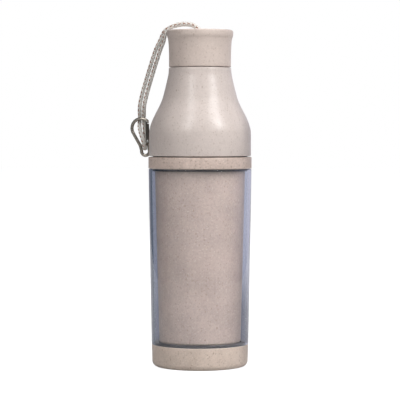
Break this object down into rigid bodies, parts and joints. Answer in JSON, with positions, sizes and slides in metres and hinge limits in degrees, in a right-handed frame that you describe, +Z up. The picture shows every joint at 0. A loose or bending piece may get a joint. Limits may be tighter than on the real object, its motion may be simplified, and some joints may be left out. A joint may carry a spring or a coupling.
{
  "type": "double wall bottle",
  "caption": "Slim bottle with a clear outer wall round a speckled inner cup, a screw-on bell shoulder, a dished screw cap and a braided cord strap that ends in a small gourd-shaped carabiner.",
  "frame": {"origin": "middle of the foot's underside, on the bottle's axis", "axes": "+Z up along the bottle's axis, -Y towards the viewer of the picture, strap hanging on the -X side"},
  "size_m": [0.0827, 0.07, 0.2341],
  "materials": {
    "speckled_plastic": "satin moulded wheat straw plastic with fine bran specks",
    "clear_wall": "clear, polished, with a faint blue cast",
    "seal": "dark, matt",
    "insert": "plain moulded",
    "cord": "braided off-white cord with brown flecks",
    "gunmetal": "polished gunmetal plating",
    "pin_steel": "plain"
  },
  "bodies": {
    "bottle": {"base_cup": "speckled_plastic", "base_gasket": "seal", "clear_sleeve": "clear_wall", "inner_cup": "speckled_plastic", "sleeve_gasket": "seal", "collar_ring": "speckled_plastic"},
    "shoulder_seal": {"shoulder_gasket": "seal"},
    "shoulder": {"shoulder_shell": "speckled_plastic"},
    "cap_seal": {"cap_gasket": "seal"},
    "cap": {"cap_shell": "speckled_plastic", "cap_liner": "insert", "strap_knot": "cord", "strap_cord": "cord", "carabiner_frame": "gunmetal", "gate_pin": "pin_steel"},
    "gate": {"carabiner_gate": "gunmetal", "gate_spring": "pin_steel"}
  },
  "joints": [
    {"name": "shoulder_rise", "type": "slide", "parent": "bottle", "child": "shoulder_seal", "axis": [0, 0, 1], "range_m": [0, 0.012]},
    {"name": "shoulder_turn", "type": "hinge", "parent": "shoulder_seal", "child": "shoulder", "pos_m": [0, 0, 0.1429], "axis": [0, 0, 1], "range_deg": [0, 720]},
    {"name": "cap_rise", "type": "slide", "parent": "shoulder", "child": "cap_seal", "axis": [0, 0, 1], "range_m": [0, 0.01]},
    {"name": "cap_turn", "type": "hinge", "parent": "cap_seal", "child": "cap", "pos_m": [0, 0, 0.203], "axis": [0, 0, 1], "range_deg": [0, 720]},
    {"name": "gate_swing", "type": "hinge", "parent": "cap", "child": "gate", "pos_m": [-0.03564, 0.01022, 0.15266], "axis": [-0.2756, -0.9613, 0], "range_deg": [0, 15], "stiffness_Nm_per_rad": 0.002, "springref_deg": -22.92}
  ],
  "couplings": [
    {"joint": "shoulder_rise", "follows": "shoulder_turn", "m_per_rad": 0.0009549},
    {"joint": "cap_rise", "follows": "cap_turn", "m_per_rad": 0.0007957}
  ]
}
